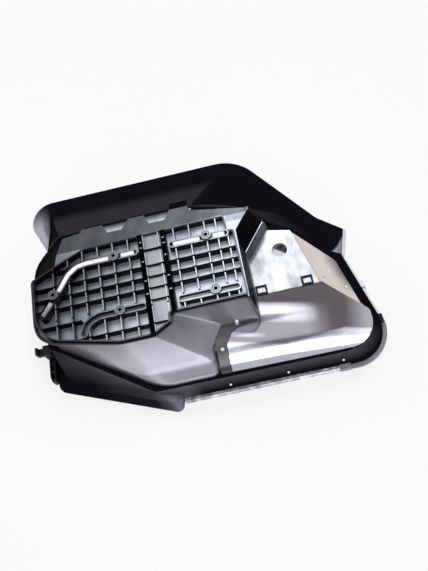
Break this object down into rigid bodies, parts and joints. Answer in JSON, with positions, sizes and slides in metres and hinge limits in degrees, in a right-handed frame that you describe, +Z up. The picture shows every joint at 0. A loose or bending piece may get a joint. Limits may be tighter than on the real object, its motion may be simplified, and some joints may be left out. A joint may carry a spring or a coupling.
{
  "type": "moulded plastic housing",
  "caption": "Injection moulded black plastic housing: a ribbed, bossed and slotted tub nested closed side up in a frame with a flared lip, with a glossy side panel and trim.",
  "frame": {"origin": "centre of the footprint's bounding box, on the surface it rests on", "axes": "+X along the long ribs towards the side panel's free end, +Y towards the flared lip, +Z up through the deck"},
  "size_m": [0.4281, 0.3328, 0.104],
  "materials": {
    "matte_black": "fine spark-eroded texture, matte",
    "satin_black": "satin",
    "gloss_black": "polished, high gloss",
    "beige_floor": "matte, lightly shaded",
    "grey_trim": "satin grey",
    "white_trim": "bright, smooth",
    "bright_pin": "smooth round heads"
  },
  "bodies": {
    "root": {"outer_frame": "matte_black", "near_shell": "satin_black", "ribbed_tub": "gloss_black", "cover_plate": "gloss_black", "floor_panel": "beige_floor", "side_shell": "gloss_black", "parting_strip": "grey_trim", "near_rim_strip": "white_trim", "corner_rim_strip": "white_trim", "right_rail": "white_trim", "rim_end_block": "grey_trim", "corner_cap": "gloss_black", "rail_clip": "white_trim", "hood_end_strip": "grey_trim", "hook_clip": "grey_trim", "foot_bracket": "grey_trim", "slot_inserts": "grey_trim", "rim_pins": "bright_pin", "trim_pins": "bright_pin", "floor_pins": "bright_pin"}
  },
  "joints": []
}
